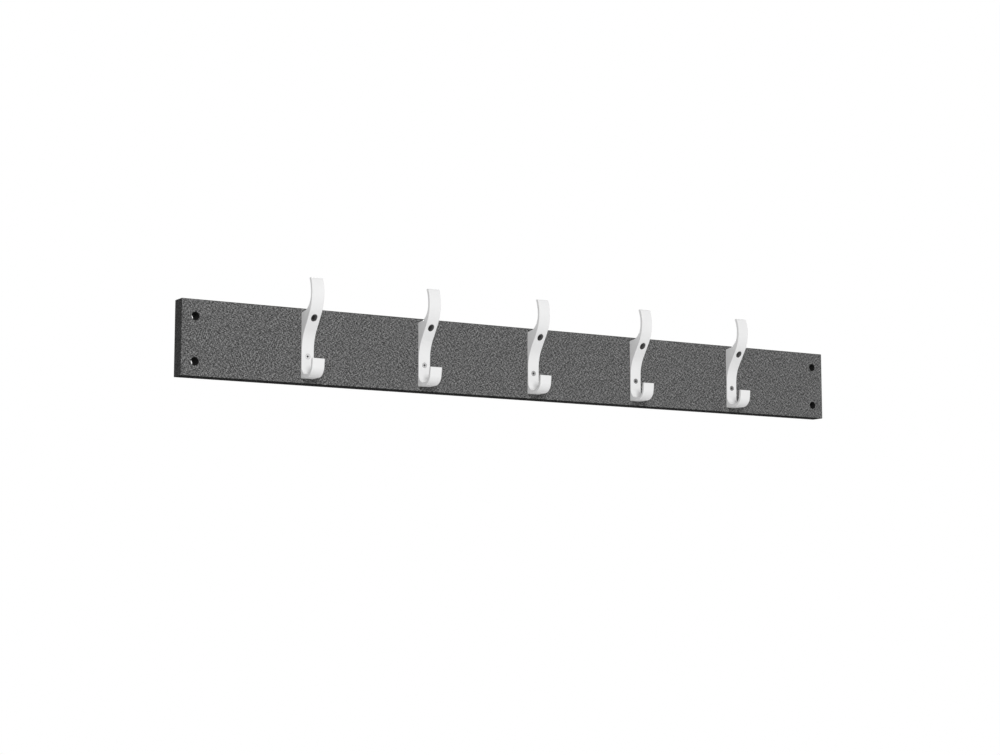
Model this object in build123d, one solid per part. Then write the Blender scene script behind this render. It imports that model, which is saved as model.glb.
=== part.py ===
from build123d import *
import os
from math import asin, atan2, cos, degrees, radians, sin, sqrt

# Coat hook board: a flat laminated board, fixed to a wall through four holes near its ends, that carries a row
# of double hooks. Each hook is a length cut from one extruded profile, with a coat prong that rises over the
# board and a cup-shaped lower hook, and is held by two countersunk wood screws.
# Frame, in millimetres: the origin is the middle of the board's back face, which lies on the wall. X runs along
# the board, Y points into the wall and Z points up, so the hooks stand out towards -Y.

# Board
hook_count = 5
hook_pitch = 150.0
end_margin = 151.5
board_thickness = 19.0
bottom_margin = 5.8
top_margin = 4.6
board_edge_bevel = 0.5

# Wall holes, one near each corner of the board
wall_hole_diameter = 9.0
wall_hole_inset = 16.5
wall_hole_rise = 16.6
wall_hole_drop = 18.8

# Hook profile, seen from its left end: "out" is measured from the board's front face, "up" from the hook's foot
hook_width = 15.0
plate_height = 75.0
strap_thickness = 2.0

# Lower hook: a flat foot that turns up into a lip
foot_length = 17.0
foot_radius = 12.5
foot_thickness = 3.5
lip_lean = 7.0
lip_length = 9.0
lip_round = 0.8
cup_radius = 10.5

# Neck and coat prong: the strap bends out from the board, runs straight and curls back over it
bend_height = 32.8
bend_radius = 38.3
neck_lean = 34.9
neck_length = 19.3
prong_radius = 41.6
prong_thickness = 4.0
prong_curl = 24.9
tip_round = 1.5
ledge_slope = 7.0
saddle_radius = 17.0

# Screws: two alike in each hook, the upper one at the bottom of a deep bore through the neck
lower_screw_rise = 25.0
upper_screw_drop = 8.0
upper_bore_diameter = 7.5
shank_diameter = 3.5
head_diameter = 6.2
seat_land = 0.4
tip_cover = 4.0
recess_span = 3.4
recess_width = 0.9
recess_depth = 1.0
screw_clearance = 0.05
pilot_end_clearance = 0.5

# Limits of the shaping: how far a cut runs past a face, and how much of its wall a rounding may take
cut_overrun = 1.0
end_round_limit = 0.45
cup_curve_limit = 0.95

# Sizes that follow from the ones above
board_length = (hook_count - 1) * hook_pitch + 2 * end_margin
board_height = bottom_margin + plate_height + top_margin
board_bottom = -board_height / 2
board_top = board_height / 2
foot_level = board_bottom + bottom_margin
shank_radius = shank_diameter / 2
head_radius = head_diameter / 2
head_depth = head_radius - shank_radius
# A strap too thin to sink the head in leaves it standing proud.
head_level = max(strap_thickness, head_depth + seat_land)
screw_length = head_level + board_thickness - tip_cover
pilot_depth = screw_length - head_level + pilot_end_clearance
lower_screw_level = foot_level + lower_screw_rise
upper_screw_level = foot_level + plate_height - upper_screw_drop
hook_centres = [(place - (hook_count - 1) / 2) * hook_pitch for place in range(hook_count)]
wall_hole_x = board_length / 2 - wall_hole_inset
wall_hole_levels = (board_bottom + wall_hole_rise, board_top - wall_hole_drop)

# The board's front face, with local x along the board, y up and z out into the room
front_plane = Plane(origin=(0, -board_thickness, 0), x_dir=(1, 0, 0), z_dir=(0, -1, 0))


def polar(centre, radius, angle):
    """Point at an angle in degrees on a circle of the profile."""
    return (centre[0] + radius * cos(radians(angle)), centre[1] + radius * sin(radians(angle)))


def lip_lines():
    """Foot and lip, from the board along the underside, up round the lip and back down into the cup."""
    centre = (foot_length, foot_radius)
    inner_radius = foot_radius - foot_thickness
    along = (sin(radians(lip_lean)), cos(radians(lip_lean)))
    outer_start = polar(centre, foot_radius, -lip_lean)
    inner_start = polar(centre, inner_radius, -lip_lean)
    outer_end = (outer_start[0] + lip_length * along[0], outer_start[1] + lip_length * along[1])
    inner_end = (inner_start[0] + lip_length * along[0], inner_start[1] + lip_length * along[1])
    turn = 90 - lip_lean
    lines = [
        Line((0, 0), (foot_length, 0)),
        CenterArc(centre, foot_radius, -90, turn),
        Line(outer_start, outer_end),
        Line(outer_end, inner_end),
        Line(inner_end, inner_start),
        CenterArc(centre, inner_radius, -lip_lean, -turn),
    ]
    return lines, [outer_end, inner_end]


def strap_lines():
    """Cup floor, cup back, strap, bend and neck, up to where the prong begins."""
    # The cup's curve can take no more than the floor between the strap and the lip's curve.
    curve = min(cup_radius, cup_curve_limit * (foot_length - strap_thickness))
    cup_centre = (strap_thickness + curve, foot_thickness + curve)
    bend_centre = (strap_thickness + bend_radius, bend_height)
    neck_start = polar(bend_centre, bend_radius, 180 - neck_lean)
    neck_end = polar(neck_start, neck_length, 90 - neck_lean)
    lines = [
        Line((foot_length, foot_thickness), (cup_centre[0], foot_thickness)),
        CenterArc(cup_centre, curve, 270, -90),
        Line((strap_thickness, cup_centre[1]), (strap_thickness, bend_height)),
        CenterArc(bend_centre, bend_radius, 180, -neck_lean),
        Line(neck_start, neck_end),
    ]
    return lines, neck_end


def prong_lines(neck_end):
    """Prong, the saddle behind it, the ledge that runs to the board and the flat back."""
    centre = polar(neck_end, prong_radius, 180 - neck_lean)
    back_radius = prong_radius - prong_thickness
    back_curl = degrees(asin(prong_radius * sin(radians(prong_curl)) / back_radius))
    # The saddle touches the prong's back and the ledge, so its centre is found along the ledge.
    slope = radians(ledge_slope)
    rise = centre[1] - plate_height
    along = centre[0] * cos(slope) + rise * sin(slope)
    above = rise * cos(slope) - centre[0] * sin(slope)
    reach = along + sqrt((back_radius - saddle_radius) ** 2 - (above - saddle_radius) ** 2)
    ledge_end = (reach * cos(slope), plate_height + reach * sin(slope))
    saddle_centre = polar(ledge_end, saddle_radius, 90 + ledge_slope)
    saddle_angle = degrees(atan2(saddle_centre[1] - centre[1], saddle_centre[0] - centre[0]))
    tip_front = polar(centre, prong_radius, prong_curl)
    tip_back = polar(centre, back_radius, back_curl)
    lines = [
        CenterArc(centre, prong_radius, -neck_lean, neck_lean + prong_curl),
        Line(tip_front, tip_back),
        CenterArc(centre, back_radius, back_curl, saddle_angle - back_curl),
        CenterArc(saddle_centre, saddle_radius, saddle_angle, ledge_slope - 90 - saddle_angle),
        Line(ledge_end, (0, plate_height)),
        Line((0, plate_height), (0, 0)),
    ]
    return lines, [tip_front, tip_back]


def hook_profile():
    """Side face of one hook, with its free ends rounded."""
    foot, lip_corners = lip_lines()
    strap, neck_end = strap_lines()
    prong, tip_corners = prong_lines(neck_end)
    face = make_face(foot + strap + prong)
    for corners, radius, wall in (
        (lip_corners, lip_round, foot_thickness),
        (tip_corners, tip_round, prong_thickness),
    ):
        near = [face.vertices().sort_by_distance((*corner, 0))[0] for corner in corners]
        face = fillet(near, min(radius, end_round_limit * wall))
    return face


def seat_cut(bore_radius, reach):
    """Cutter for one screw: a clearance hole that widens as a countersink into a bore out to the front."""
    hole = shank_radius + screw_clearance
    sink_start = head_level - head_depth
    outline = Polyline(
        (0, 0, -cut_overrun),
        (hole, 0, -cut_overrun),
        (hole, 0, sink_start),
        (bore_radius, 0, sink_start + bore_radius - hole),
        (bore_radius, 0, head_level + reach),
        (0, 0, head_level + reach),
        close=True,
    )
    return revolve(make_face(outline), Axis.Z)


def hook():
    """One hook at the middle of the board, cut from the profile and drilled for its two screws."""
    plane = Plane(origin=(0, -board_thickness, foot_level), x_dir=(0, -1, 0), z_dir=(-1, 0, 0))
    body = extrude(plane * hook_profile(), hook_width / 2, both=True)
    sink_radius = head_radius + screw_clearance
    lower = seat_cut(sink_radius, cut_overrun)
    upper = seat_cut(max(upper_bore_diameter / 2, sink_radius), bend_radius + prong_radius)
    body -= front_plane * Pos(0, lower_screw_level) * lower
    body -= front_plane * Pos(0, upper_screw_level) * upper
    return body


def screw():
    """Countersunk wood screw with a cross recess, its head's top at the seat's level."""
    end = head_level - screw_length
    outline = Polyline(
        (0, 0, head_level),
        (head_radius, 0, head_level),
        (shank_radius, 0, head_level - head_depth),
        (shank_radius, 0, end),
        (0, 0, end),
        close=True,
    )
    slot = Pos(0, 0, head_level) * Box(recess_span, recess_width, 2 * recess_depth)
    return revolve(make_face(outline), Axis.Z) - slot - Rot(0, 0, 90) * slot


def board():
    """The board, with its wall holes and the holes that the hooks' screws are driven into."""
    middle = Pos(0, -board_thickness / 2, 0)
    panel = middle * Box(board_length, board_thickness, board_height)
    panel = chamfer(panel.edges(), board_edge_bevel)
    through = middle * Rot(90, 0, 0) * Cylinder(wall_hole_diameter / 2, board_thickness + 2 * cut_overrun)
    for x in (-wall_hole_x, wall_hole_x):
        for level in wall_hole_levels:
            panel -= Pos(x, 0, level) * through
    pilot = Cylinder(
        shank_radius + screw_clearance,
        pilot_depth,
        align=(Align.CENTER, Align.CENTER, Align.MAX),
    )
    for x in hook_centres:
        for level in (lower_screw_level, upper_screw_level):
            panel -= front_plane * Pos(x, level) * pilot
    return panel


def screw_row(level):
    """One screw in each hook, all at the same height on the board."""
    blank = screw()
    return Compound([front_plane * Pos(x, level) * blank for x in hook_centres])


parts = {"board": board()}
pattern_hook = hook()
for number, x in enumerate(hook_centres, start=1):
    parts[f"hook_{number}"] = Pos(x, 0, 0) * pattern_hook
parts["upper_hook_screws"] = screw_row(upper_screw_level)
parts["lower_hook_screws"] = screw_row(lower_screw_level)

os.makedirs("parts", exist_ok=True)
for name, part in parts.items():
    export_step(part, f"parts/{name}.step")
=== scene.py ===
"""Models a coat hook board in a plain studio.

A flecked laminate board carries five coated double hooks, and two countersunk screws hold each hook.
"""

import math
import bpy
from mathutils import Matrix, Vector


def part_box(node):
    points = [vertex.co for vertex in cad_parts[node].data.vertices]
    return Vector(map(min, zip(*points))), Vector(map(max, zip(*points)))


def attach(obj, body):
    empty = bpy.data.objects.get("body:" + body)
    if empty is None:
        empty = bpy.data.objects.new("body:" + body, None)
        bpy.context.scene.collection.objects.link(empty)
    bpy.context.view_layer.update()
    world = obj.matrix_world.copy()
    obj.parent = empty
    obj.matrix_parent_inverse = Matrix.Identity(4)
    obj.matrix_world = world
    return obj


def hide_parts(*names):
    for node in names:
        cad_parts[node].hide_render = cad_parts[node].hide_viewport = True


bl_info = {
    "name": "Coat Hook Board",
    "version": (1, 0, 0),
    "blender": (4, 5, 0),
    "location": "3D View > Sidebar > Hook Board",
    "description": "Models a coat hook board with its hooks and screws, and sets up a plain studio",
    "category": "Object",
}

import bmesh
import bpy
from bpy.props import FloatProperty, FloatVectorProperty, PointerProperty
from mathutils import Matrix, Vector

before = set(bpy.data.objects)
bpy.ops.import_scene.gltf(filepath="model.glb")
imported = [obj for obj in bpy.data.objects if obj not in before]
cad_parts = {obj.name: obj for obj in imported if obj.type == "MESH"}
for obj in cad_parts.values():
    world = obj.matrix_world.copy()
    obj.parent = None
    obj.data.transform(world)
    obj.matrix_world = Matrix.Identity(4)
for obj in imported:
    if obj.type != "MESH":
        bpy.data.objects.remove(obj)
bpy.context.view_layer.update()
board_low, board_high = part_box("board")
hook_low, hook_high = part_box("hook_1")
hook_nodes = sorted(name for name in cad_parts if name.startswith("hook_"))

# The board's front face and the hooks' foot, which every piece is measured from
front = board_low.y
foot = hook_low.z
hook_centres = [sum(corner.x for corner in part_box(node)) / 2 for node in hook_nodes]

# Smallest distance that tells two points of a mesh apart, and the room that a match by place has
TINY = 1e-6
NEAR = 10 * TINY

# How closely a flat face's normal follows an axis
ALONG_AXIS = 0.99

# Turns past which an edge of a board or hook, and of a screw, stays sharp
SHARP_TURN = math.radians(35)
SCREW_SHARP_TURN = math.radians(40)

# Sides of the round shapes
HOLE_SIDES = 64
PILOT_SIDES = 24
SCREW_SIDES = 40
WELL_SIDES = 16
FLOOR_SIDES = 96

# Largest turn of one step round an arc of the hook, and the fewest steps of an arc
ARC_STEP = math.radians(3)
FEWEST_STEPS = 6

# Steps across a rounding
RIM_STEPS = 2
EDGE_STEPS = 3
LIP_STEPS = 6
TIP_STEPS = 8

# Levels that noise mostly stays between, and its middle
NOISE_LOW = 0.3
NOISE_HIGH = 0.7
NOISE_MIDDLE = 0.5

# Kinds of a node group's sockets
PLACE = "NodeSocketVector"
VALUE = "NodeSocketFloat"
COLOUR = "NodeSocketColor"

WHITE = (1.0, 1.0, 1.0, 1.0)
SENSOR_WIDTH = 36.0


# Settings


def size_setting(name, description, default):
    """A length in metres that a user may change."""
    return FloatProperty(
        name=name, description=description, default=default, min=0.0, precision=5, unit="LENGTH"
    )


def turn_setting(name, description, default):
    """An angle that a user may change, given here in degrees."""
    return FloatProperty(
        name=name, description=description, default=math.radians(default), subtype="ANGLE"
    )


def share_setting(name, description, default):
    """A share from 0 to 1 that a user may change."""
    return FloatProperty(
        name=name, description=description, default=default, min=0.0, max=1.0, subtype="FACTOR"
    )


def power_setting(name, description, default):
    """A lamp's power in watts that a user may change."""
    return FloatProperty(name=name, description=description, default=default, min=0.0, unit="POWER")


def lens_setting(name, description, default):
    """A focal length in millimetres that a user may change."""
    return FloatProperty(name=name, description=description, default=default, min=1.0, unit="CAMERA")


def place_setting(name, description, default):
    """A place in metres that a user may change."""
    return FloatVectorProperty(
        name=name, description=description, default=default, size=3, subtype="TRANSLATION", unit="LENGTH"
    )


def colour_setting(name, description, default):
    """A linear colour that a user may change."""
    return FloatVectorProperty(
        name=name, description=description, default=default, min=0.0, max=1.0, size=3, subtype="COLOR"
    )


class BoardSizes(bpy.types.PropertyGroup):
    """Sizes of the board's rounded edges and of its holes."""

    edge_round: size_setting("Edge Round", "Rounding of the board's edges", 0.0005)
    hole_diameter: size_setting("Wall Hole Diameter", "Holes near the board's ends", 0.009)
    hole_inset: size_setting("Wall Hole Inset", "Distance of the holes from the board's ends", 0.0165)
    hole_rise: size_setting("Wall Hole Rise", "Lower holes, up from the board's bottom", 0.0166)
    hole_drop: size_setting("Wall Hole Drop", "Upper holes, down from the board's top", 0.0188)
    hole_round: size_setting("Wall Hole Round", "Softened rim of the wall holes", 0.0003)
    pilot_diameter: size_setting("Pilot Diameter", "Holes that the hooks' screws are driven into", 0.0036)
    pilot_depth: size_setting("Pilot Depth", "Depth of those holes", 0.0155)


class HookSizes(bpy.types.PropertyGroup):
    """Sizes of one double hook, seen from its side: out from the board and up from the foot."""

    width: size_setting("Width", "Length cut from the profile", hook_high.x - hook_low.x)
    plate_height: size_setting("Plate Height", "Height of the flat back on the board", 0.075)
    strap_thickness: size_setting("Strap Thickness", "Wall between the board and the cup", 0.002)
    foot_length: size_setting("Foot Length", "Flat underside before the lip turns up", 0.017)
    foot_radius: size_setting("Foot Radius", "Outer radius of the turn from foot to lip", 0.0125)
    foot_thickness: size_setting("Foot Thickness", "Wall of the foot and the lip", 0.0035)
    lip_lean: turn_setting("Lip Lean", "Lean of the lip away from the board", 7.0)
    lip_length: size_setting("Lip Length", "Straight part of the lip", 0.009)
    lip_round: size_setting("Lip Round", "Rounding of the lip's end", 0.0008)
    cup_radius: size_setting("Cup Radius", "Curve from the cup's floor into the strap", 0.0105)
    bend_height: size_setting("Bend Height", "Height where the strap bends out from the board", 0.0328)
    bend_radius: size_setting("Bend Radius", "Radius of the bend into the neck", 0.0383)
    neck_lean: turn_setting("Neck Lean", "Lean of the neck away from the board", 34.9)
    neck_length: size_setting("Neck Length", "Straight part between the bend and the prong", 0.0193)
    prong_radius: size_setting("Prong Radius", "Radius of the prong's front", 0.0416)
    prong_thickness: size_setting("Prong Thickness", "Wall of the prong", 0.004)
    prong_curl: turn_setting("Prong Curl", "Curl of the prong back over the board", 24.9)
    tip_round: size_setting("Tip Round", "Rounding of the prong's end", 0.0015)
    ledge_slope: turn_setting("Ledge Slope", "Slope of the ledge behind the prong", 7.0)
    saddle_radius: size_setting("Saddle Radius", "Curve between the ledge and the prong", 0.017)
    edge_round: size_setting("Edge Round", "Softened edge that the coating leaves", 0.0004)
    bore_round: size_setting("Bore Round", "Softened rim of the upper bore", 0.00025)
    bore_diameter: size_setting("Bore Diameter", "Bore through the neck to the upper screw", 0.0075)
    screw_clearance: size_setting("Screw Clearance", "Room between a screw and its seat", 0.00005)


class ScrewSizes(bpy.types.PropertyGroup):
    """Sizes and places of the countersunk wood screws."""

    lower_rise: size_setting("Lower Screw Rise", "Height of the lower screw above the foot", 0.025)
    upper_rise: size_setting("Upper Screw Rise", "Height of the upper screw above the foot", 0.067)
    head_level: size_setting("Head Level", "Top of the head, out from the board", 0.002)
    head_diameter: size_setting("Head Diameter", "Countersunk head", 0.0062)
    head_rim: size_setting("Head Rim", "Rounded rim round the head's top", 0.00018)
    shank_diameter: size_setting("Shank Diameter", "Shank and thread crests", 0.0035)
    root_diameter: size_setting("Root Diameter", "Thread roots", 0.0025)
    thread_pitch: size_setting("Thread Pitch", "Distance from one thread crest to the next", 0.0016)
    length: size_setting("Length", "Whole screw, from the head's top to the tip", 0.017)
    recess_span: size_setting("Recess Span", "Width across the cross recess", 0.0037)
    recess_width: size_setting("Recess Width", "Width of one slot of the recess", 0.0011)
    recess_well: size_setting("Recess Well", "Round middle of the recess", 0.0021)
    recess_depth: size_setting("Recess Depth", "Depth of the recess", 0.0013)


class Finishes(bpy.types.PropertyGroup):
    """Colours and textures of the board, the hooks and the screws."""

    laminate: colour_setting("Laminate", "Ground colour of the board's faces", (0.0795, 0.0795, 0.0795))
    fleck_light: colour_setting("Light Flecks", "Pale grains in the laminate", (0.365, 0.365, 0.365))
    fleck_dark: colour_setting("Dark Flecks", "Dark grains in the laminate", (0.0035, 0.0035, 0.0035))
    fleck_size: size_setting("Fleck Size", "Size of one grain", 0.0012)
    # Made near black as painted shade for the board's underside
    edging: colour_setting("Edging", "Long edges of the board", (0.0025, 0.0025, 0.0025))
    face_shine: share_setting("Face Shine", "Specular level of the board's faces", 0.15)
    # Painted shade: the ends are a darker copy of the face laminate
    end_painted_shade: share_setting("End Shade", "Tone of the board's flecked ends beside its faces", 0.33)
    end_shine: share_setting("End Shine", "Specular level of the board's ends and edging", 0.02)
    # Made near black as painted shade inside the holes
    core: colour_setting("Core", "Raw board inside the holes", (0.02, 0.02, 0.02))
    coating: colour_setting("Coating", "White powder coating of the hooks", (0.85, 0.85, 0.85))
    peel_size: size_setting("Peel Size", "Ripples in the powder coating", 0.0011)
    # Bare metal, made dark as painted shade inside the bores
    bare_metal_and_bore_shade: colour_setting("Bare Metal", "Drilled metal inside the hooks' bores", (0.2, 0.2, 0.2))
    steel: colour_setting("Steel", "Bright zinc plating of the first screws", (0.66, 0.66, 0.66))
    # Painted reflection: the last screws get a darker steel than the first
    shaded_steel: colour_setting("Shaded Steel", "Dulled plating of the last screws", (0.24, 0.24, 0.24))
    # Painted shade deep in the screw recesses
    recess_shade: colour_setting("Recess Shade", "Darkened floor of the screw recesses", (0.02, 0.02, 0.02))


class StudioSettings(bpy.types.PropertyGroup):
    """Floor, light and camera."""

    floor_drop: size_setting("Floor Drop", "Floor below the board's bottom", 1.6)
    floor_radius: size_setting("Floor Radius", "Round floor under the board", 4.0)
    floor_colour: colour_setting("Floor Colour", "Plain pale floor", (0.82, 0.82, 0.82))
    sky_level: share_setting("Sky Level", "Even light from all round", 0.4)
    key_place: place_setting("Key Place", "Soft lamp before the board", (-2.3, -6.32, 1.93))
    key_power: power_setting("Key Power", "Power of the lamp before the board", 276.0)
    rear_place: place_setting("Rear Place", "Soft lamp behind the board", (2.3, 6.32, 1.93))
    rear_power: power_setting("Rear Power", "Power of the lamp behind the board", 220.0)
    lamp_size: size_setting("Lamp Size", "Width of the soft lamps", 1.8)
    camera_place: place_setting("Camera Place", "Where the camera stands", (-1.2546, -2.0165, -0.3034))
    camera_turn: turn_setting("Camera Turn", "Turn of the camera to the right", 31.176)
    camera_tilt: turn_setting("Camera Tilt", "Tilt of the camera upwards", 6.934)
    camera_lens: lens_setting("Camera Lens", "Focal length on a 36 mm sensor", 71.036)


# Modelling helpers


def clear_selection():
    """Leaves edit mode and deselects everything."""
    if bpy.context.object and bpy.context.object.mode != "OBJECT":
        bpy.ops.object.mode_set(mode="OBJECT")
    bpy.ops.object.select_all(action="DESELECT")


def pick_piece(piece):
    """Selects one piece alone and makes it the active one."""
    clear_selection()
    piece.select_set(True)
    bpy.context.view_layer.objects.active = piece


def start_point(name, place):
    """A new piece of one selected point, left in edit mode."""
    clear_selection()
    bpy.ops.mesh.primitive_plane_add(size=0.01)
    piece = bpy.context.object
    piece.name = piece.data.name = name
    bpy.ops.object.mode_set(mode="EDIT")
    bpy.ops.mesh.select_mode(type="VERT")
    bpy.ops.mesh.select_all(action="SELECT")
    bpy.ops.mesh.merge(type="CENTER")
    bpy.ops.transform.translate(value=place)
    return piece


def start_disc(name, place, radius, sides):
    """A new piece of one round face that looks out from the board, left selected in edit mode."""
    clear_selection()
    bpy.ops.mesh.primitive_circle_add(
        vertices=sides, radius=radius, fill_type="NGON", location=place, rotation=(math.pi / 2, 0, 0)
    )
    piece = bpy.context.object
    piece.name = piece.data.name = name
    bpy.ops.object.transform_apply(location=True, rotation=True)
    bpy.ops.object.mode_set(mode="EDIT")
    bpy.ops.mesh.select_mode(type="FACE")
    bpy.ops.mesh.select_all(action="SELECT")
    return piece


def pull_disc(step, growth, centre):
    """Extrudes the selected round face out from the board and scales its new end."""
    bpy.ops.mesh.extrude_region_move(TRANSFORM_OT_translate={"value": (0, -step, 0)})
    bpy.ops.transform.resize(value=(growth, 1, growth), center_override=centre)


def turned_piece(name, centre, stations, sides):
    """A closed round piece along the Y axis from stations of (distance out from the board, radius)."""
    out, radius = stations[0]
    piece = start_disc(name, (centre.x, front - out, centre.z), radius, sides)
    for next_out, next_radius in stations[1:]:
        middle = (centre.x, front - next_out, centre.z)
        pull_disc(next_out - out, next_radius / radius, middle)
        out, radius = next_out, next_radius
    face_outwards()
    return piece


def face_outwards():
    """Merges double points and turns every face of the piece in edit mode outwards."""
    bpy.ops.mesh.select_all(action="SELECT")
    bpy.ops.mesh.remove_doubles(threshold=TINY)
    bpy.ops.mesh.normals_make_consistent(inside=False)


def select_edges(piece, wanted):
    """Selects the edges of the piece in edit mode that a test picks, and says how many there are."""
    bpy.ops.mesh.select_mode(type="EDGE")
    bpy.ops.mesh.select_all(action="DESELECT")
    mesh = bmesh.from_edit_mesh(piece.data)
    picked = [edge for edge in mesh.edges if wanted(edge)]
    for edge in picked:
        edge.select_set(True)
    bmesh.update_edit_mesh(piece.data)
    return len(picked)


def round_edges(piece, wanted, radius, segments):
    """Bevels the edges that a test picks into a rounding."""
    if not select_edges(piece, wanted):
        raise RuntimeError(f"{piece.name} has no edge to round")
    bpy.ops.mesh.bevel(offset=radius, segments=segments, profile=0.5, affect="EDGES", clamp_overlap=True)


def apply_modifier(piece, kind, **settings):
    """Adds a modifier to the piece, sets it and applies it."""
    pick_piece(piece)
    modifier = piece.modifiers.new(kind.title(), kind)
    for key, value in settings.items():
        setattr(modifier, key, value)
    bpy.ops.object.modifier_apply(modifier=modifier.name)


def cut_away(piece, cutter):
    """Cuts one closed piece out of another and removes the cutter."""
    apply_modifier(
        piece, "BOOLEAN", operation="DIFFERENCE", solver="EXACT", use_self=True, object=cutter
    )
    bpy.data.objects.remove(cutter)


def smooth_piece(piece, sharp_angle):
    """Smooth shading that keeps the flat faces flat and the sharp edges sharp."""
    pick_piece(piece)
    bpy.ops.object.shade_smooth_by_angle(angle=sharp_angle)
    apply_modifier(piece, "WEIGHTED_NORMAL", weight=100, keep_sharp=True)


def copy_piece(piece, name, shift):
    """A copy of the piece with its own mesh, moved along the board."""
    pick_piece(piece)
    bpy.ops.object.duplicate(linked=False)
    copy = bpy.context.object
    copy.name = copy.data.name = name
    bpy.ops.transform.translate(value=(shift, 0, 0))
    bpy.ops.object.transform_apply(location=True)
    return copy


def set_in_frame(piece, node):
    """Lets the piece stand for its CAD node, which it hides, and ties it to the whole."""
    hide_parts(node)
    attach(piece, "root")


def join_pieces(pieces):
    """Joins pieces into the first of them."""
    clear_selection()
    for piece in pieces:
        piece.select_set(True)
    bpy.context.view_layer.objects.active = pieces[0]
    bpy.ops.object.join()
    return pieces[0]


def assign_slot(piece, slot, wanted):
    """Gives a material slot to the faces of the piece in edit mode that a test picks."""
    bpy.ops.mesh.select_mode(type="FACE")
    bpy.ops.mesh.select_all(action="DESELECT")
    mesh = bmesh.from_edit_mesh(piece.data)
    for face in mesh.faces:
        if wanted(face):
            face.select_set(True)
    bmesh.update_edit_mesh(piece.data)
    piece.active_material_index = slot
    bpy.ops.object.material_slot_assign()


# Board


def wall_hole_places(sizes):
    """Middle of each wall hole, on the board's back face."""
    x = board_high.x - sizes.hole_inset
    levels = (board_low.z + sizes.hole_rise, board_high.z - sizes.hole_drop)
    return [Vector((side * x, 0, level)) for side in (-1, 1) for level in levels]


def pilot_places(screws):
    """Middle of each hole that a hook's screw is driven into."""
    rises = (screws.lower_rise, screws.upper_rise)
    return [Vector((x, 0, foot + rise)) for x in hook_centres for rise in rises]


def model_board(name, sizes, screws):
    """The board with rounded edges, wall holes and pilot holes."""
    clear_selection()
    bpy.ops.mesh.primitive_cube_add(size=1, location=(board_low + board_high) / 2)
    piece = bpy.context.object
    piece.name = piece.data.name = name
    bpy.ops.object.transform_apply(location=True)
    bpy.ops.object.mode_set(mode="EDIT")
    bpy.ops.mesh.select_all(action="SELECT")
    bpy.ops.transform.resize(value=board_high - board_low, center_override=(board_low + board_high) / 2)
    round_edges(piece, lambda edge: True, sizes.edge_round, EDGE_STEPS)
    face_outwards()

    past = sizes.edge_round
    back = board_low.y - board_high.y
    hole = sizes.hole_diameter / 2
    pilot = sizes.pilot_diameter / 2
    holes = wall_hole_places(sizes)
    through = [(back - past, hole), (past, hole)]
    blind = [(-sizes.pilot_depth, pilot), (past, pilot)]
    cutters = [turned_piece("wall_hole", place, through, HOLE_SIDES) for place in holes]
    cutters += [turned_piece("pilot_hole", place, blind, PILOT_SIDES) for place in pilot_places(screws)]
    cut_away(piece, join_pieces(cutters))

    def is_on_hole(vert):
        reach = min((vert.co.xz - place.xz).length for place in holes)
        return abs(reach - hole) < NEAR

    def is_hole_rim(edge):
        first, last = edge.verts
        return is_on_hole(first) and is_on_hole(last) and abs(first.co.y - last.co.y) < TINY

    bpy.ops.object.mode_set(mode="EDIT")
    round_edges(piece, is_hole_rim, sizes.hole_round, RIM_STEPS)
    bpy.ops.object.mode_set(mode="OBJECT")
    smooth_piece(piece, SHARP_TURN)
    return piece


def finish_board(piece, finish, sizes):
    """Laminate on the faces, dark edging made near black as painted shade on the long edges, flecked ends
    darkened as painted shade, and raw core made near black as painted shade inside the holes.
    """
    piece.data.materials.clear()
    faces, edges, ends, inside = range(4)
    for material in (
        flecked_laminate("flecked_laminate", finish, 1.0, finish.face_shine),
        edge_strip(finish),
        # A darker copy of the face laminate, painted shade on the board's ends
        flecked_laminate("flecked_ends", finish, finish.end_painted_shade, finish.end_shine),
        raw_core_and_hole_shade(finish),
    ):
        piece.data.materials.append(material)

    def is_face(face):
        return abs(face.normal.y) > ALONG_AXIS

    def is_outside(face):
        middle = face.calc_center_median()
        round_over = sizes.edge_round + TINY
        return abs(middle.x) > board_high.x - round_over or abs(middle.z) > board_high.z - round_over

    def is_end(face):
        return is_outside(face) and not is_face(face) and abs(face.normal.x) > abs(face.normal.z)

    pick_piece(piece)
    bpy.ops.object.mode_set(mode="EDIT")
    assign_slot(piece, inside, lambda face: True)
    assign_slot(piece, faces, is_face)
    assign_slot(piece, edges, lambda face: is_outside(face) and not is_face(face))
    assign_slot(piece, ends, is_end)
    bpy.ops.object.mode_set(mode="OBJECT")


# Hook


def on_circle(centre, radius, angle):
    """Point at an angle on a circle of the profile, as (out, up)."""
    return Vector((centre[0] + radius * math.cos(angle), centre[1] + radius * math.sin(angle)))


def in_place(point, x):
    """Place in the frame of a point (out, up) of the profile."""
    return Vector((x, front - point[0], foot + point[1]))


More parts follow.
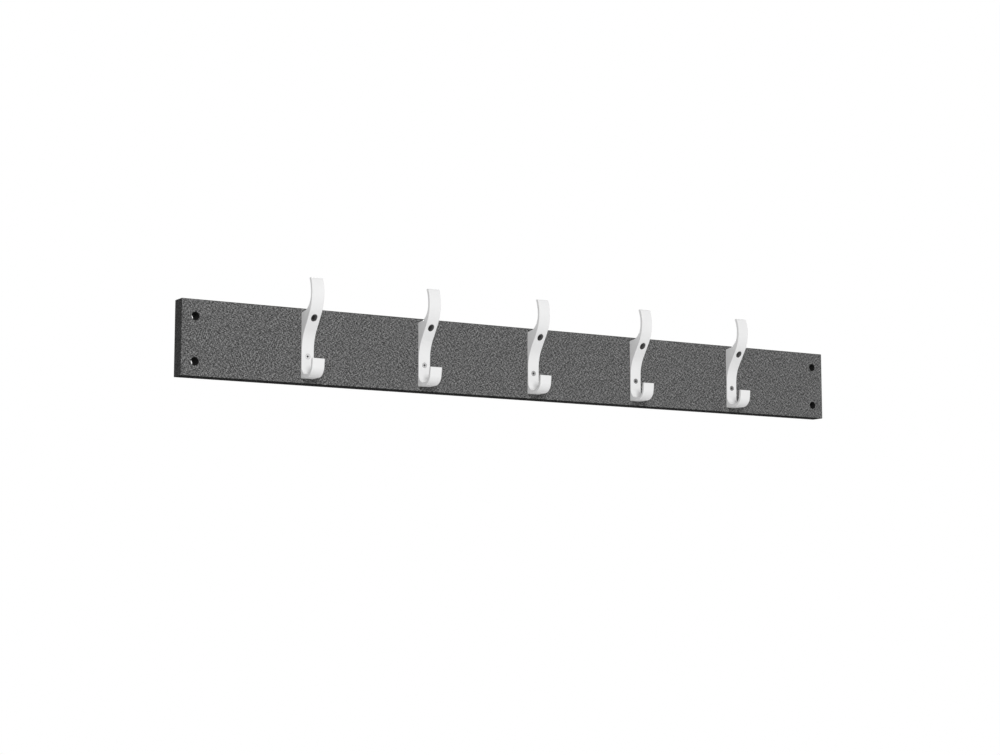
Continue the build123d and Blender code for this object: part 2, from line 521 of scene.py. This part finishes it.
def hook_outline(sizes):
    """Steps round the hook's profile from the heel, and the corners of the lip and of the tip."""
    quarter = math.pi / 2
    lip_centre = (sizes.foot_length, sizes.foot_radius)
    inner_radius = sizes.foot_radius - sizes.foot_thickness
    lip_turn = quarter - sizes.lip_lean
    along_lip = sizes.lip_length * Vector((math.sin(sizes.lip_lean), math.cos(sizes.lip_lean)))
    lip_outer = on_circle(lip_centre, sizes.foot_radius, -sizes.lip_lean) + along_lip
    lip_inner = on_circle(lip_centre, inner_radius, -sizes.lip_lean) + along_lip

    cup_centre = (sizes.strap_thickness + sizes.cup_radius, sizes.foot_thickness + sizes.cup_radius)
    bend_centre = (sizes.strap_thickness + sizes.bend_radius, sizes.bend_height)
    neck_start = on_circle(bend_centre, sizes.bend_radius, math.pi - sizes.neck_lean)
    neck_end = on_circle(neck_start, sizes.neck_length, quarter - sizes.neck_lean)

    prong_centre = on_circle(neck_end, sizes.prong_radius, math.pi - sizes.neck_lean)
    back_radius = sizes.prong_radius - sizes.prong_thickness
    back_curl = math.asin(sizes.prong_radius * math.sin(sizes.prong_curl) / back_radius)
    tip_front = on_circle(prong_centre, sizes.prong_radius, sizes.prong_curl)
    tip_back = on_circle(prong_centre, back_radius, back_curl)

    slope = sizes.ledge_slope
    rise = prong_centre[1] - sizes.plate_height
    along = prong_centre[0] * math.cos(slope) + rise * math.sin(slope)
    above = rise * math.cos(slope) - prong_centre[0] * math.sin(slope)
    gap = back_radius - sizes.saddle_radius
    reach = along + math.sqrt(gap**2 - (above - sizes.saddle_radius) ** 2)
    ledge_end = on_circle((0, sizes.plate_height), reach, slope)
    saddle_centre = on_circle(ledge_end, sizes.saddle_radius, quarter + slope)
    to_saddle = saddle_centre - prong_centre
    saddle_angle = math.atan2(to_saddle[1], to_saddle[0])

    steps = [
        ("line", (sizes.foot_length, 0)),
        ("arc", lip_centre, lip_turn),
        ("line", lip_outer),
        ("line", lip_inner),
        ("line", on_circle(lip_centre, inner_radius, -sizes.lip_lean)),
        ("arc", lip_centre, -lip_turn),
        ("line", (cup_centre[0], sizes.foot_thickness)),
        ("arc", cup_centre, -quarter),
        ("line", (sizes.strap_thickness, sizes.bend_height)),
        ("arc", bend_centre, -sizes.neck_lean),
        ("line", neck_end),
        ("arc", prong_centre, sizes.neck_lean + sizes.prong_curl),
        ("line", tip_back),
        ("arc", prong_centre, saddle_angle - back_curl),
        ("arc", saddle_centre, slope - quarter - saddle_angle),
        ("line", (0, sizes.plate_height)),
        ("line", (0, 0)),
    ]
    return steps, [lip_outer, lip_inner], [tip_front, tip_back]


def trace_outline(name, steps, x):
    """Draws a closed outline by extruding a point along lines and spinning it round arcs, and fills it."""
    here = Vector((0, 0))
    piece = start_point(name, in_place(here, x))
    for step in steps:
        if step[0] == "line":
            there = Vector(step[1])
            move = in_place(there, x) - in_place(here, x)
            bpy.ops.mesh.extrude_region_move(TRANSFORM_OT_translate={"value": move})
        else:
            centre, turn = Vector(step[1]), step[2]
            parts = max(FEWEST_STEPS, round(abs(turn) / ARC_STEP))
            bpy.ops.mesh.spin(steps=parts, angle=turn, center=in_place(centre, x), axis=(1, 0, 0))
            there = centre + Matrix.Rotation(turn, 2) @ (here - centre)
        here = there
    bpy.ops.mesh.select_all(action="SELECT")
    bpy.ops.mesh.remove_doubles(threshold=TINY)
    bpy.ops.mesh.edge_face_add()
    return piece


def is_crosswise_at(edge, points):
    """True if the edge runs along X through one of the profile's points."""
    first, last = edge.verts[0].co, edge.verts[1].co
    if abs(first.x - last.x) < TINY:
        return False
    near = (first.yz - in_place(point, 0).yz for point in points)
    return any(gap.length < NEAR for gap in near) and (first.yz - last.yz).length < TINY


def is_side_edge(edge):
    """True if the edge bounds one of the hook's flat sides."""
    sides = [abs(face.normal.x) > ALONG_AXIS for face in edge.link_faces]
    return len(sides) == 2 and sides[0] != sides[1]


def seat_cutter(name, rise, bore_radius, reach, hooks, screws):
    """Cutter for one screw seat: clearance hole, countersink and bore."""
    hole = screws.shank_diameter / 2 + hooks.screw_clearance
    sink = screws.head_diameter / 2 + hooks.screw_clearance
    sink_start = screws.head_level - (sink - hole)
    past = hooks.strap_thickness
    stations = [
        (-past, hole),
        (sink_start, hole),
        (sink_start + bore_radius - hole, bore_radius),
        (screws.head_level + reach, bore_radius),
    ]
    cutter = turned_piece(name, in_place((0, rise), 0), stations, HOLE_SIDES)
    bpy.ops.object.mode_set(mode="OBJECT")
    return cutter


def model_hook(name, hooks, screws):
    """One double hook at the middle of the board, made from its profile."""
    steps, lip_corners, tip_corners = hook_outline(hooks)
    piece = trace_outline(name, steps, -hooks.width / 2)
    bpy.ops.mesh.extrude_region_move(TRANSFORM_OT_translate={"value": (hooks.width, 0, 0)})
    face_outwards()
    round_edges(piece, lambda edge: is_crosswise_at(edge, lip_corners), hooks.lip_round, LIP_STEPS)
    round_edges(piece, lambda edge: is_crosswise_at(edge, tip_corners), hooks.tip_round, TIP_STEPS)
    round_edges(piece, is_side_edge, hooks.edge_round, EDGE_STEPS)
    face_outwards()

    sink_radius = screws.head_diameter / 2 + hooks.screw_clearance
    bore_radius = max(hooks.bore_diameter / 2, sink_radius)
    past_front = hooks.bend_radius + hooks.prong_radius
    for seat, rise, radius, reach in (
        ("lower_seat", screws.lower_rise, sink_radius, hooks.strap_thickness),
        ("upper_seat", screws.upper_rise, bore_radius, past_front),
    ):
        cut_away(piece, seat_cutter(seat, rise, radius, reach, hooks, screws))

    axis = in_place((0, screws.upper_rise), 0)
    mouth = front - screws.head_level - hooks.bore_diameter / 2

    def is_on_bore(vert):
        return abs((vert.co.xz - axis.xz).length - bore_radius) < NEAR and vert.co.y < mouth

    bpy.ops.object.mode_set(mode="EDIT")
    round_edges(piece, lambda edge: all(map(is_on_bore, edge.verts)), hooks.bore_round, RIM_STEPS)
    face_outwards()
    bpy.ops.object.mode_set(mode="OBJECT")
    smooth_piece(piece, SHARP_TURN)
    return piece


# Screw


def model_screw(name, rise, sizes):
    """One countersunk wood screw at the middle of the board, with a thread and a tapered cross recess."""
    shank = sizes.shank_diameter / 2
    root = sizes.root_diameter / 2
    head = sizes.head_diameter / 2
    top = sizes.head_level
    neck = top - (head - shank)
    tip = top - sizes.length
    pitch = sizes.thread_pitch
    flank = 0.2 * pitch
    point_length = 3 * pitch
    point = root / 8
    point_end = root / 2
    stations = [(tip, point), (tip + pitch, point_end)]
    crest = tip + 1.5 * pitch
    while crest + pitch < neck - pitch:
        taper = min(1.0, (crest - tip) / point_length)
        stations += [(crest - flank, root * taper), (crest, shank * taper), (crest + flank, root * taper)]
        crest += pitch
    stations += [(crest, root), (neck - pitch / 2, shank), (neck, shank)]
    stations += [(top - sizes.head_rim, head), (top, head - sizes.head_rim)]
    centre = in_place((0, rise), 0)
    piece = turned_piece(name, centre, stations, SCREW_SIDES)
    bpy.ops.object.mode_set(mode="OBJECT")
    cut_away(piece, recess_cutter("recess", centre, sizes))
    smooth_piece(piece, SCREW_SHARP_TURN)
    return piece


def recess_cutter(name, centre, sizes):
    """Cutter for a cross recess, two crossed slots that narrow towards the bottom and a round well."""
    clear_selection()
    mouth = front - sizes.head_level
    middle = (centre.x, mouth, centre.z)
    slot = (sizes.recess_span, 2 * sizes.recess_depth, sizes.recess_width)
    narrowing = (0.55, 1, 0.7)
    well_length = 3 * sizes.recess_depth
    bpy.ops.mesh.primitive_cube_add(size=1, location=middle)
    cutter = bpy.context.object
    cutter.name = cutter.data.name = name
    bpy.ops.object.transform_apply(location=True)
    bpy.ops.object.mode_set(mode="EDIT")
    bpy.ops.mesh.select_all(action="SELECT")
    bpy.ops.transform.resize(value=slot, center_override=middle)
    select_edges(cutter, lambda edge: all(vert.co.y > mouth for vert in edge.verts))
    bpy.ops.transform.resize(value=narrowing, center_override=middle)
    bpy.ops.mesh.select_all(action="SELECT")
    bpy.ops.mesh.duplicate()
    bpy.ops.transform.rotate(value=math.pi / 2, orient_axis="Y", center_override=middle)
    bpy.ops.mesh.primitive_cone_add(
        vertices=WELL_SIDES,
        radius1=sizes.recess_well,
        radius2=0.0,
        depth=well_length,
        location=middle,
        rotation=(-math.pi / 2, 0, 0),
    )
    bpy.ops.mesh.select_all(action="SELECT")
    bpy.ops.mesh.normals_make_consistent(inside=False)
    bpy.ops.object.mode_set(mode="OBJECT")
    return cutter


# Finishes


def add_node(tree, kind, inputs=None, **settings):
    """A node of a tree, with its settings and the values or links of its inputs."""
    node = tree.nodes.new(kind)
    for key, value in settings.items():
        setattr(node, key, value)
    for key, value in (inputs or {}).items():
        socket = node.inputs[key]
        if isinstance(value, bpy.types.NodeSocket):
            tree.links.new(value, socket)
        else:
            socket.default_value = value
    return node


def maths(tree, operation, first, second=0.0):
    """Result of one sum on values or sockets."""
    node = add_node(tree, "ShaderNodeMath", {0: first, 1: second}, operation=operation)
    return node.outputs[0]


def remap(tree, value, low, high, first=0.0, last=1.0, **settings):
    """Value spread from between two levels to between two others, and held at their ends."""
    inputs = {"Value": value, "From Min": low, "From Max": high, "To Min": first, "To Max": last}
    return add_node(tree, "ShaderNodeMapRange", inputs, **settings).outputs[0]


def noise_level(tree, place, scale, detail, roughness):
    """Level of a noise at a place, from 0 to 1."""
    inputs = {"Vector": place, "Scale": scale, "Detail": detail, "Roughness": roughness}
    return add_node(tree, "ShaderNodeTexNoise", inputs).outputs[0]


def mix_colours(tree, factor, first, second):
    """Colour between two others."""
    node = add_node(tree, "ShaderNodeMix", {"Factor": factor, 6: first, 7: second}, data_type="RGBA")
    return node.outputs[2]


def opaque(colour):
    """A colour setting with its alpha."""
    return (*colour, 1.0)


def start_group(name, inputs, outputs):
    """A new shader node group with named sockets, given as (name, kind, default)."""
    group = bpy.data.node_groups.new(name, "ShaderNodeTree")
    for label, kind, default in inputs:
        socket = group.interface.new_socket(name=label, in_out="INPUT", socket_type=kind)
        if default is not None:
            socket.default_value = default
    for label, kind in outputs:
        group.interface.new_socket(name=label, in_out="OUTPUT", socket_type=kind)
    return group, group.nodes.new("NodeGroupInput").outputs, group.nodes.new("NodeGroupOutput").inputs


def uneven_gloss_group():
    """Roughness that drifts between two values over the surface."""
    name = "Uneven Gloss"
    if name in bpy.data.node_groups:
        return bpy.data.node_groups[name]
    group, given, made = start_group(
        name,
        [("Vector", PLACE, None), ("Scale", VALUE, 40.0), ("Low", VALUE, 0.3), ("High", VALUE, 0.5)],
        [("Roughness", VALUE)],
    )
    noise = noise_level(group, given["Vector"], given["Scale"], detail=4.0, roughness=0.6)
    spread = remap(group, noise, NOISE_LOW, NOISE_HIGH, given["Low"], given["High"])
    group.links.new(spread, made["Roughness"])
    return group


def tone_drift_group():
    """A colour that drifts a little lighter and darker over the surface."""
    name = "Tone Drift"
    if name in bpy.data.node_groups:
        return bpy.data.node_groups[name]
    group, given, made = start_group(
        name,
        [
            ("Vector", PLACE, None),
            ("Color", COLOUR, (0.8, 0.8, 0.8, 1.0)),
            ("Scale", VALUE, 10.0),
            ("Amount", VALUE, 0.05),
        ],
        [("Color", COLOUR)],
    )
    noise = noise_level(group, given["Vector"], given["Scale"], detail=3.0, roughness=0.55)
    least = maths(group, "SUBTRACT", 1.0, given["Amount"])
    most = maths(group, "ADD", 1.0, given["Amount"])
    factor = remap(group, noise, 0.0, 1.0, least, most)
    shade = add_node(group, "ShaderNodeVectorMath", {0: given["Color"], 1: factor}, operation="MULTIPLY")
    group.links.new(shade.outputs[0], made["Color"])
    return group


def fine_grain_group():
    """Height of a fine even grain, for bumps."""
    name = "Fine Grain"
    if name in bpy.data.node_groups:
        return bpy.data.node_groups[name]
    group, given, made = start_group(
        name,
        [("Vector", PLACE, None), ("Scale", VALUE, 800.0), ("Sharpness", VALUE, 0.5)],
        [("Height", VALUE)],
    )
    height = noise_level(group, given["Vector"], given["Scale"], detail=2.0, roughness=given["Sharpness"])
    group.links.new(height, made["Height"])
    return group


def fleck_group():
    """Fine dark and light grains on a ground colour, evenly spread: each holds off its like beside it."""
    name = "Flecks"
    if name in bpy.data.node_groups:
        return bpy.data.node_groups[name]
    grey = (0.2, 0.2, 0.2, 1.0)
    darkest, middle, lightest = 0.3, 0.49, 0.72
    reach = 0.0028
    evenness = 0.09
    group, given, made = start_group(
        name,
        [
            ("Vector", PLACE, None),
            ("Scale", VALUE, 700.0),
            ("Dark", COLOUR, grey),
            ("Ground", COLOUR, grey),
            ("Light", COLOUR, grey),
        ],
        [("Color", COLOUR)],
    )
    grains = {"scale": given["Scale"], "detail": 1.5, "roughness": 0.75}
    level = noise_level(group, given["Vector"], **grains)
    for step in ((reach, 0.0, 0.0), (-reach, 0.0, 0.0), (0.0, 0.0, reach), (0.0, 0.0, -reach)):
        aside = add_node(group, "ShaderNodeVectorMath", {0: given["Vector"], 1: step}, operation="ADD")
        beside = noise_level(group, aside.outputs[0], **grains)
        swing = maths(group, "SUBTRACT", beside, NOISE_MIDDLE)
        level = maths(group, "SUBTRACT", level, maths(group, "MULTIPLY", swing, evenness))
    colour = mix_colours(group, remap(group, level, darkest, middle), given["Dark"], given["Ground"])
    colour = mix_colours(group, remap(group, level, middle, lightest), colour, given["Light"])
    group.links.new(colour, made["Color"])
    return group


def place_group(tree, group, inputs):
    """Places a group in a material with its own values, and gives its outputs."""
    return add_node(tree, "ShaderNodeGroup", inputs, node_tree=group).outputs


def start_material(name):
    """A new material with its node tree, its shader and the piece's own coordinates."""
    material = bpy.data.materials.new(name)
    material.use_nodes = True
    tree = material.node_tree
    shader = tree.nodes["Principled BSDF"]
    place = tree.nodes.new("ShaderNodeTexCoord").outputs["Object"]
    return material, tree, shader, place


def drifting(tree, place, colour, scale, amount):
    """A colour that drifts by a share of itself over the surface."""
    inputs = {"Vector": place, "Color": colour, "Scale": scale, "Amount": amount}
    return place_group(tree, tone_drift_group(), inputs)["Color"]


def set_gloss(tree, shader, place, scale, low, high):
    """Gives the shader a roughness that drifts between two values."""
    inputs = {"Vector": place, "Scale": scale, "Low": low, "High": high}
    gloss = place_group(tree, uneven_gloss_group(), inputs)["Roughness"]
    tree.links.new(gloss, shader.inputs["Roughness"])


def set_bump(tree, shader, height, strength, depth):
    """Gives the shader a surface that rises and falls with a height."""
    inputs = {"Height": height, "Strength": strength, "Distance": depth}
    bump = add_node(tree, "ShaderNodeBump", inputs).outputs[0]
    tree.links.new(bump, shader.inputs["Normal"])


def set_grain(tree, shader, place, scale, sharpness, strength, depth):
    """Gives the shader a finely grained surface."""
    inputs = {"Vector": place, "Scale": scale, "Sharpness": sharpness}
    height = place_group(tree, fine_grain_group(), inputs)["Height"]
    set_bump(tree, shader, height, strength, depth)


def flecked_laminate(name, finish, shade, shine):
    """Grey laminate with fine flecks, in the tone that a share of its colours gives; a share below 1 is
    painted shade.
    """
    material, tree, shader, place = start_material(name)
    grains = {"Vector": place, "Scale": 1 / finish.fleck_size}
    for label, colour in (
        ("Dark", finish.fleck_dark),
        ("Ground", finish.laminate),
        ("Light", finish.fleck_light),
    ):
        grains[label] = opaque(shade * part for part in colour)
    flecks = place_group(tree, fleck_group(), grains)["Color"]
    face = drifting(tree, place, flecks, scale=9.0, amount=0.04)
    tree.links.new(face, shader.inputs["Base Color"])
    set_gloss(tree, shader, place, scale=300.0, low=0.45, high=0.62)
    set_grain(tree, shader, place, scale=1100.0, sharpness=0.6, strength=0.25, depth=0.00008)
    shader.inputs["Specular IOR Level"].default_value = shine
    return material


def edge_strip(finish):
    """Matt dark edging with a faint grain, made near black as painted shade for the board's underside."""
    material, tree, shader, place = start_material("dark_edging_painted_shade")
    # Painted shade: the near-black edging colour stands in for the shade under the board
    tone = drifting(tree, place, opaque(finish.edging), scale=160.0, amount=0.3)
    tree.links.new(tone, shader.inputs["Base Color"])
    set_gloss(tree, shader, place, scale=300.0, low=0.65, high=0.85)
    set_grain(tree, shader, place, scale=1400.0, sharpness=0.6, strength=0.2, depth=0.00008)
    shader.inputs["Specular IOR Level"].default_value = finish.end_shine
    return material


def raw_core_and_hole_shade(finish):
    """Raw pressed board with coarse chips, made near black as painted shade inside the holes."""
    material, tree, shader, place = start_material("raw_core_and_hole_shade")
    chips = add_node(tree, "ShaderNodeTexVoronoi", {"Vector": place, "Scale": 900.0}).outputs
    tone = drifting(tree, chips["Position"], opaque(finish.core), scale=1500.0, amount=0.8)
    tree.links.new(tone, shader.inputs["Base Color"])
    set_bump(tree, shader, chips["Distance"], strength=0.4, depth=0.0002)
    shader.inputs["Roughness"].default_value = 0.9
    shader.inputs["Specular IOR Level"].default_value = 0.1
    return material


def bore_mask(tree, place, hooks, screws):
    """1 inside the hooks' screw holes and bores, 0 on their outer faces."""
    parts = add_node(tree, "ShaderNodeSeparateXYZ", {0: place})
    pitch = hook_centres[1] - hook_centres[0]
    along = maths(tree, "SUBTRACT", parts.outputs["X"], hook_centres[0])
    nearest = maths(tree, "PINGPONG", along, pitch / 2)
    masks = []
    for rise, diameter in (
        (screws.lower_rise, screws.head_diameter + 2 * hooks.screw_clearance),
        (screws.upper_rise, hooks.bore_diameter),
    ):
        level = maths(tree, "SUBTRACT", parts.outputs["Z"], foot + rise)
        offset = add_node(tree, "ShaderNodeCombineXYZ", {"X": nearest, "Z": level}).outputs[0]
        reach = add_node(tree, "ShaderNodeVectorMath", {0: offset}, operation="LENGTH").outputs["Value"]
        masks.append(maths(tree, "LESS_THAN", reach, diameter / 2 + NEAR))
    return maths(tree, "MAXIMUM", *masks)


def white_coating(finish, hooks, screws):
    """White powder coating with a faint ripple, and bare metal made dark as painted shade inside the screw
    holes and bores.
    """
    material, tree, shader, place = start_material("white_coating")
    white = drifting(tree, place, opaque(finish.coating), scale=60.0, amount=0.025)
    # Bare metal inside the screw holes and bores, made dark as painted shade
    metal = drifting(tree, place, opaque(finish.bare_metal_and_bore_shade), scale=1500.0, amount=0.4)
    in_bore = bore_mask(tree, place, hooks, screws)
    tree.links.new(mix_colours(tree, in_bore, white, metal), shader.inputs["Base Color"])
    set_gloss(tree, shader, place, scale=180.0, low=0.34, high=0.46)
    set_grain(tree, shader, place, scale=1 / finish.peel_size, sharpness=0.35, strength=0.12, depth=0.0001)
    shader.inputs["Specular IOR Level"].default_value = 0.4
    return material


def zinc_steel(finish, screws):
    """Zinc plated steel, darker from screw to screw along the board as a painted reflection, and with
    painted shade deep in the recess.
    """
    material, tree, shader, place = start_material("zinc_steel")
    parts = add_node(tree, "ShaderNodeSeparateXYZ", {0: place})
    # Painted shade: deep in the cross recess the plating turns to a near-black colour, where shade falls
    recess_floor = front - screws.head_level + screws.recess_depth
    dark_depth = 0.6 * screws.recess_depth
    deep = remap(tree, parts.outputs["Y"], recess_floor - dark_depth, recess_floor)
    # Painted reflection: the screws darken from the first hook to the fourth, as if they reflected darker
    # surroundings
    painted_reflection_falloff = remap(tree, parts.outputs["X"], hook_centres[0], hook_centres[-2])
    steel = mix_colours(tree, painted_reflection_falloff, opaque(finish.steel), opaque(finish.shaded_steel))
    plating = drifting(tree, place, steel, scale=900.0, amount=0.2)
    colour = mix_colours(tree, deep, plating, opaque(finish.recess_shade))
    tree.links.new(colour, shader.inputs["Base Color"])
    set_gloss(tree, shader, place, scale=700.0, low=0.28, high=0.45)
    set_grain(tree, shader, place, scale=2500.0, sharpness=0.6, strength=0.1, depth=0.00005)
    shader.inputs["Metallic"].default_value = 1.0
    return material


# Studio


def seen_rays(tree):
    """1 for rays from the camera and for reflections and refractions, 0 for light on the object."""
    path = tree.nodes.new("ShaderNodeLightPath").outputs
    seen = maths(tree, "MAXIMUM", path["Is Camera Ray"], path["Is Glossy Ray"])
    return maths(tree, "MAXIMUM", seen, path["Is Transmission Ray"])


def light_sky(studio):
    """Even white light from all round, seen as plain white."""
    world = bpy.data.worlds.new("plain_white")
    world.use_nodes = True
    tree = world.node_tree
    tree.nodes.clear()
    light = add_node(tree, "ShaderNodeBackground", {"Color": WHITE, "Strength": studio.sky_level})
    seen = add_node(tree, "ShaderNodeBackground", {"Color": WHITE, "Strength": 1.0})
    mix = add_node(
        tree, "ShaderNodeMixShader", {0: seen_rays(tree), 1: light.outputs[0], 2: seen.outputs[0]}
    )
    output = tree.nodes.new("ShaderNodeOutputWorld")
    tree.links.new(mix.outputs[0], output.inputs["Surface"])
    bpy.context.scene.world = world


def floor_paper(studio):
    """Plain pale floor that keeps shadows below the board and fades into the white surroundings."""
    material, tree, shader, place = start_material("floor_paper")
    colour = drifting(tree, place, opaque(studio.floor_colour), scale=3.0, amount=0.02)
    tree.links.new(colour, shader.inputs["Base Color"])
    shader.inputs["Roughness"].default_value = 0.9
    shader.inputs["Specular IOR Level"].default_value = 0.1
    flat = add_node(tree, "ShaderNodeVectorMath", {0: place, 1: (1, 1, 0)}, operation="MULTIPLY")
    reach = add_node(tree, "ShaderNodeVectorMath", {0: flat.outputs[0]}, operation="LENGTH").outputs["Value"]
    fade_start = 0.35 * studio.floor_radius
    fade_end = 0.95 * studio.floor_radius
    least_fade = 0.5
    fade = remap(tree, reach, fade_start, fade_end, least_fade, 1.0, interpolation_type="SMOOTHSTEP")
    white = add_node(tree, "ShaderNodeEmission", {"Color": WHITE, "Strength": 1.0})
    mix = add_node(
        tree,
        "ShaderNodeMixShader",
        {0: maths(tree, "MULTIPLY", fade, seen_rays(tree)), 1: shader.outputs[0], 2: white.outputs[0]},
    )
    tree.links.new(mix.outputs[0], tree.nodes["Material Output"].inputs["Surface"])
    return material


def lay_floor(studio):
    """Round floor below the board."""
    clear_selection()
    level = board_low.z - studio.floor_drop
    bpy.ops.mesh.primitive_circle_add(
        vertices=FLOOR_SIDES, radius=studio.floor_radius, fill_type="NGON", location=(0, 0, level)
    )
    floor = bpy.context.object
    floor.name = floor.data.name = "studio_floor"
    bpy.ops.object.transform_apply(location=True)
    floor.data.materials.append(floor_paper(studio))


def hang_lamp(name, place, power, size):
    """A soft square lamp that points at the board's middle."""
    lamp = bpy.data.lights.new(name, "AREA")
    lamp.shape = "SQUARE"
    lamp.size = size
    lamp.energy = power
    holder = bpy.data.objects.new(name, lamp)
    holder.location = place
    holder.rotation_euler = Vector(place).to_track_quat("Z", "Y").to_euler()
    bpy.context.scene.collection.objects.link(holder)


def set_camera(studio):
    """Camera below the board and to its left, tilted up at it."""
    camera = bpy.data.cameras.new("photo_camera")
    camera.sensor_width = SENSOR_WIDTH
    camera.lens = studio.camera_lens
    holder = bpy.data.objects.new("photo_camera", camera)
    holder.location = studio.camera_place
    holder.rotation_euler = (math.pi / 2 + studio.camera_tilt, 0, -studio.camera_turn)
    bpy.context.scene.collection.objects.link(holder)
    bpy.context.scene.camera = holder


# Operators


class HOOKBOARD_OT_board(bpy.types.Operator):
    """Model the board with its holes and give it flecked faces and ends and dark long edges"""

    bl_idname = "hookboard.board"
    bl_label = "Add Board"
    bl_options = {"REGISTER", "UNDO"}

    def execute(self, context):
        scene = context.scene
        board = model_board("laminate_board", scene.hookboard_board, scene.hookboard_screws)
        finish_board(board, scene.hookboard_finishes, scene.hookboard_board)
        set_in_frame(board, "board")
        return {"FINISHED"}


class HOOKBOARD_OT_hooks(bpy.types.Operator):
    """Model one double hook and set a copy on each hook's place"""

    bl_idname = "hookboard.hooks"
    bl_label = "Add Hooks"
    bl_options = {"REGISTER", "UNDO"}

    def execute(self, context):
        scene = context.scene
        coating = white_coating(scene.hookboard_finishes, scene.hookboard_hooks, scene.hookboard_screws)
        pattern = model_hook("hook_pattern", scene.hookboard_hooks, scene.hookboard_screws)
        pattern.data.materials.append(coating)
        for number, x in enumerate(hook_centres, start=1):
            hook = copy_piece(pattern, f"double_hook_{number}", x)
            set_in_frame(hook, f"hook_{number}")
        bpy.data.objects.remove(pattern)
        return {"FINISHED"}


class HOOKBOARD_OT_screws(bpy.types.Operator):
    """Model one countersunk screw for each row and set a copy in each hook"""

    bl_idname = "hookboard.screws"
    bl_label = "Add Screws"
    bl_options = {"REGISTER", "UNDO"}

    def execute(self, context):
        scene = context.scene
        sizes = scene.hookboard_screws
        steel = zinc_steel(scene.hookboard_finishes, sizes)
        for row, rise in (("lower", sizes.lower_rise), ("upper", sizes.upper_rise)):
            pattern = model_screw("screw_pattern", rise, sizes)
            pattern.data.materials.append(steel)
            for number, x in enumerate(hook_centres, start=1):
                screw = copy_piece(pattern, f"{row}_screw_{number}", x)
                set_in_frame(screw, f"{row}_hook_screws")
            bpy.data.objects.remove(pattern)
        return {"FINISHED"}


class HOOKBOARD_OT_studio(bpy.types.Operator):
    """Lay the floor, light the board and set the camera"""

    bl_idname = "hookboard.studio"
    bl_label = "Set Up Studio"
    bl_options = {"REGISTER", "UNDO"}

    def execute(self, context):
        studio = context.scene.hookboard_studio
        context.scene.view_settings.view_transform = "Standard"
        light_sky(studio)
        lay_floor(studio)
        hang_lamp("key_lamp", studio.key_place, studio.key_power, studio.lamp_size)
        hang_lamp("rear_lamp", studio.rear_place, studio.rear_power, studio.lamp_size)
        set_camera(studio)
        return {"FINISHED"}


class HOOKBOARD_PT_panel(bpy.types.Panel):
    """Hook board tools and settings"""

    bl_idname = "HOOKBOARD_PT_panel"
    bl_label = "Coat Hook Board"
    bl_space_type = "VIEW_3D"
    bl_region_type = "UI"
    bl_category = "Hook Board"

    def draw(self, context):
        layout = self.layout
        for operator in operators:
            layout.operator(operator.bl_idname)
        for name, group in settings.items():
            box = layout.box()
            box.label(text=group.__doc__)
            values = getattr(context.scene, name)
            for key in group.__annotations__:
                box.prop(values, key)


operators = (HOOKBOARD_OT_board, HOOKBOARD_OT_hooks, HOOKBOARD_OT_screws, HOOKBOARD_OT_studio)
settings = {
    "hookboard_board": BoardSizes,
    "hookboard_hooks": HookSizes,
    "hookboard_screws": ScrewSizes,
    "hookboard_finishes": Finishes,
    "hookboard_studio": StudioSettings,
}
classes = (*settings.values(), *operators, HOOKBOARD_PT_panel)


def register():
    """Adds the settings, operators and panel to Blender."""
    for entry in classes:
        bpy.utils.register_class(entry)
    for name, group in settings.items():
        setattr(bpy.types.Scene, name, PointerProperty(type=group))


def unregister():
    """Takes the settings, operators and panel out of Blender again."""
    for name in settings:
        delattr(bpy.types.Scene, name)
    for entry in reversed(classes):
        bpy.utils.unregister_class(entry)


def main():
    """Dresses the board and sets up the studio."""
    register()
    bpy.ops.hookboard.board()
    bpy.ops.hookboard.hooks()
    bpy.ops.hookboard.screws()
    bpy.ops.hookboard.studio()


if __name__ == "__main__":
    main()
